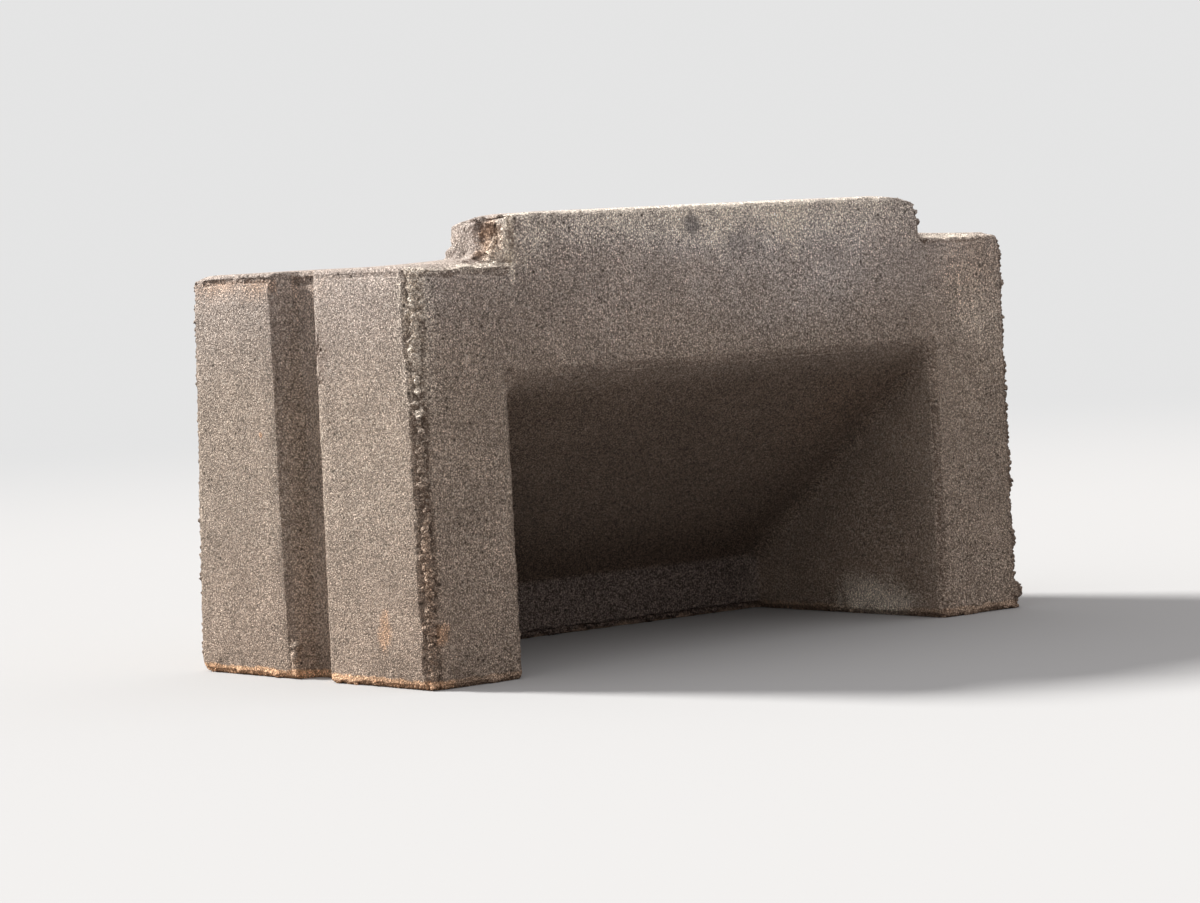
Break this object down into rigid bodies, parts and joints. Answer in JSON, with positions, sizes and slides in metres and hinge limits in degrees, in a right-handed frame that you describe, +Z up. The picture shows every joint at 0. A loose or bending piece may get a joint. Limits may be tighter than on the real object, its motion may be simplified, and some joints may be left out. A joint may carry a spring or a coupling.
{
  "type": "interlocking concrete block",
  "caption": "Heavy cast concrete wall block with a scooped front open to the ground, a raised locking lip on top and a tapered key groove down each end, worn and chipped.",
  "frame": {"origin": "on the ground, under the middle of the block's box", "axes": "+X along the block, to the right as seen from its open side; the open side faces -Y; +Z up, from the legs to the lip"},
  "size_m": [0.395, 0.1949, 0.223],
  "materials": {
    "concrete": "sandy brown cast concrete, matte, with an open grain and crumbled arrises"
  },
  "bodies": {
    "root": {"concrete_block": "concrete"}
  },
  "joints": []
}
